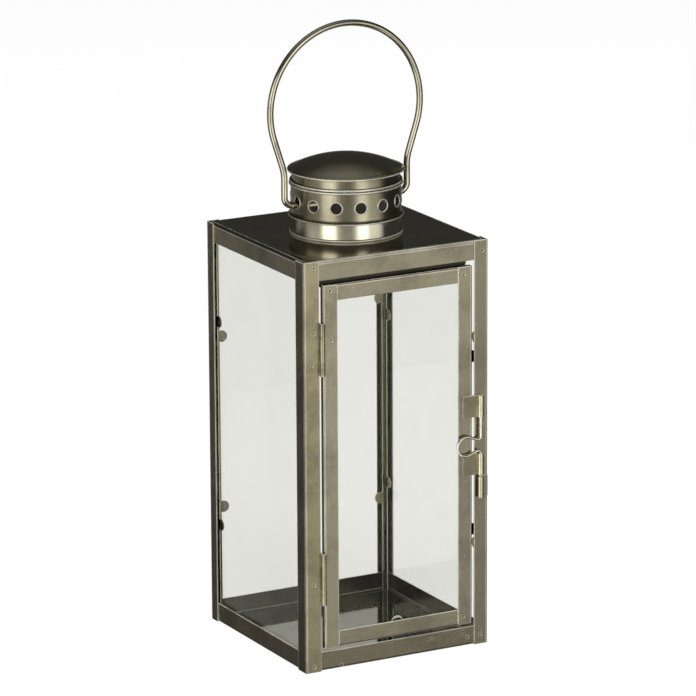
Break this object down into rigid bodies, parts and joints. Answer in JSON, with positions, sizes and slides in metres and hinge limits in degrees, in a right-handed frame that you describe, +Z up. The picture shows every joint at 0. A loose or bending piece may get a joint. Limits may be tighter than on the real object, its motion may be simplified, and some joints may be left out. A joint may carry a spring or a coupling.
{
  "type": "candle lantern",
  "caption": "Square glazed sheet metal candle lantern with a hinged glass door, wire latch, round vented chimney, domed cap and swinging wire handle.",
  "frame": {"origin": "centre of the underside of the case, on the surface it stands on", "axes": "+Z up, -Y out of the door, +X towards the latch side"},
  "size_m": [0.12, 0.1241, 0.3665],
  "materials": {
    "bronze_sheet": "satin antique bronze, worn bright at the cut edges",
    "dark_sheet": "glossy dark antique bronze",
    "fittings": "worn brass",
    "pins": "drawn wire",
    "handle_wire": "polished plated wire",
    "glass": "clear float glass"
  },
  "bodies": {
    "frame": {"roof_tray": "dark_sheet", "base_tray": "bronze_sheet", "post_front_left": "bronze_sheet", "post_front_right": "bronze_sheet", "post_rear_left": "bronze_sheet", "post_rear_right": "bronze_sheet", "strip_front_left": "bronze_sheet", "strip_front_right": "bronze_sheet", "strip_rear_left": "bronze_sheet", "strip_rear_right": "bronze_sheet", "pane_left": "glass", "pane_right": "glass", "pane_rear": "glass", "door_stop": "bronze_sheet", "chimney_collar": "dark_sheet", "vent_band": "bronze_sheet", "cap_skirt": "bronze_sheet", "cap": "dark_sheet", "hinge_leaf_frame_upper": "fittings", "hinge_leaf_frame_lower": "fittings", "hinge_pin_upper": "pins", "hinge_pin_lower": "pins", "latch_keeper": "fittings"},
    "door": {"door_stile_hinge": "bronze_sheet", "door_stile_latch": "bronze_sheet", "door_rail_top": "bronze_sheet", "door_rail_bottom": "bronze_sheet", "door_glass": "glass", "hinge_leaf_door_upper": "fittings", "hinge_leaf_door_lower": "fittings", "latch_plate_upper": "fittings", "latch_plate_lower": "fittings"},
    "latch_bolt": {"latch_bolt": "fittings"},
    "bail": {"bail": "handle_wire"}
  },
  "joints": [
    {"name": "door_hinge", "type": "hinge", "parent": "frame", "child": "door", "pos_m": [-0.04895, -0.0617, 0.12115], "axis": [0, 0, -1], "range_deg": [0, 190]},
    {"name": "latch_slide", "type": "slide", "parent": "door", "child": "latch_bolt", "axis": [0, 0, 1], "range_m": [0, 0.0114]},
    {"name": "bail_pivot", "type": "hinge", "parent": "frame", "child": "bail", "pos_m": [0, 0, 0.2616], "axis": [1, 0, 0], "range_deg": [-105, 105]}
  ]
}
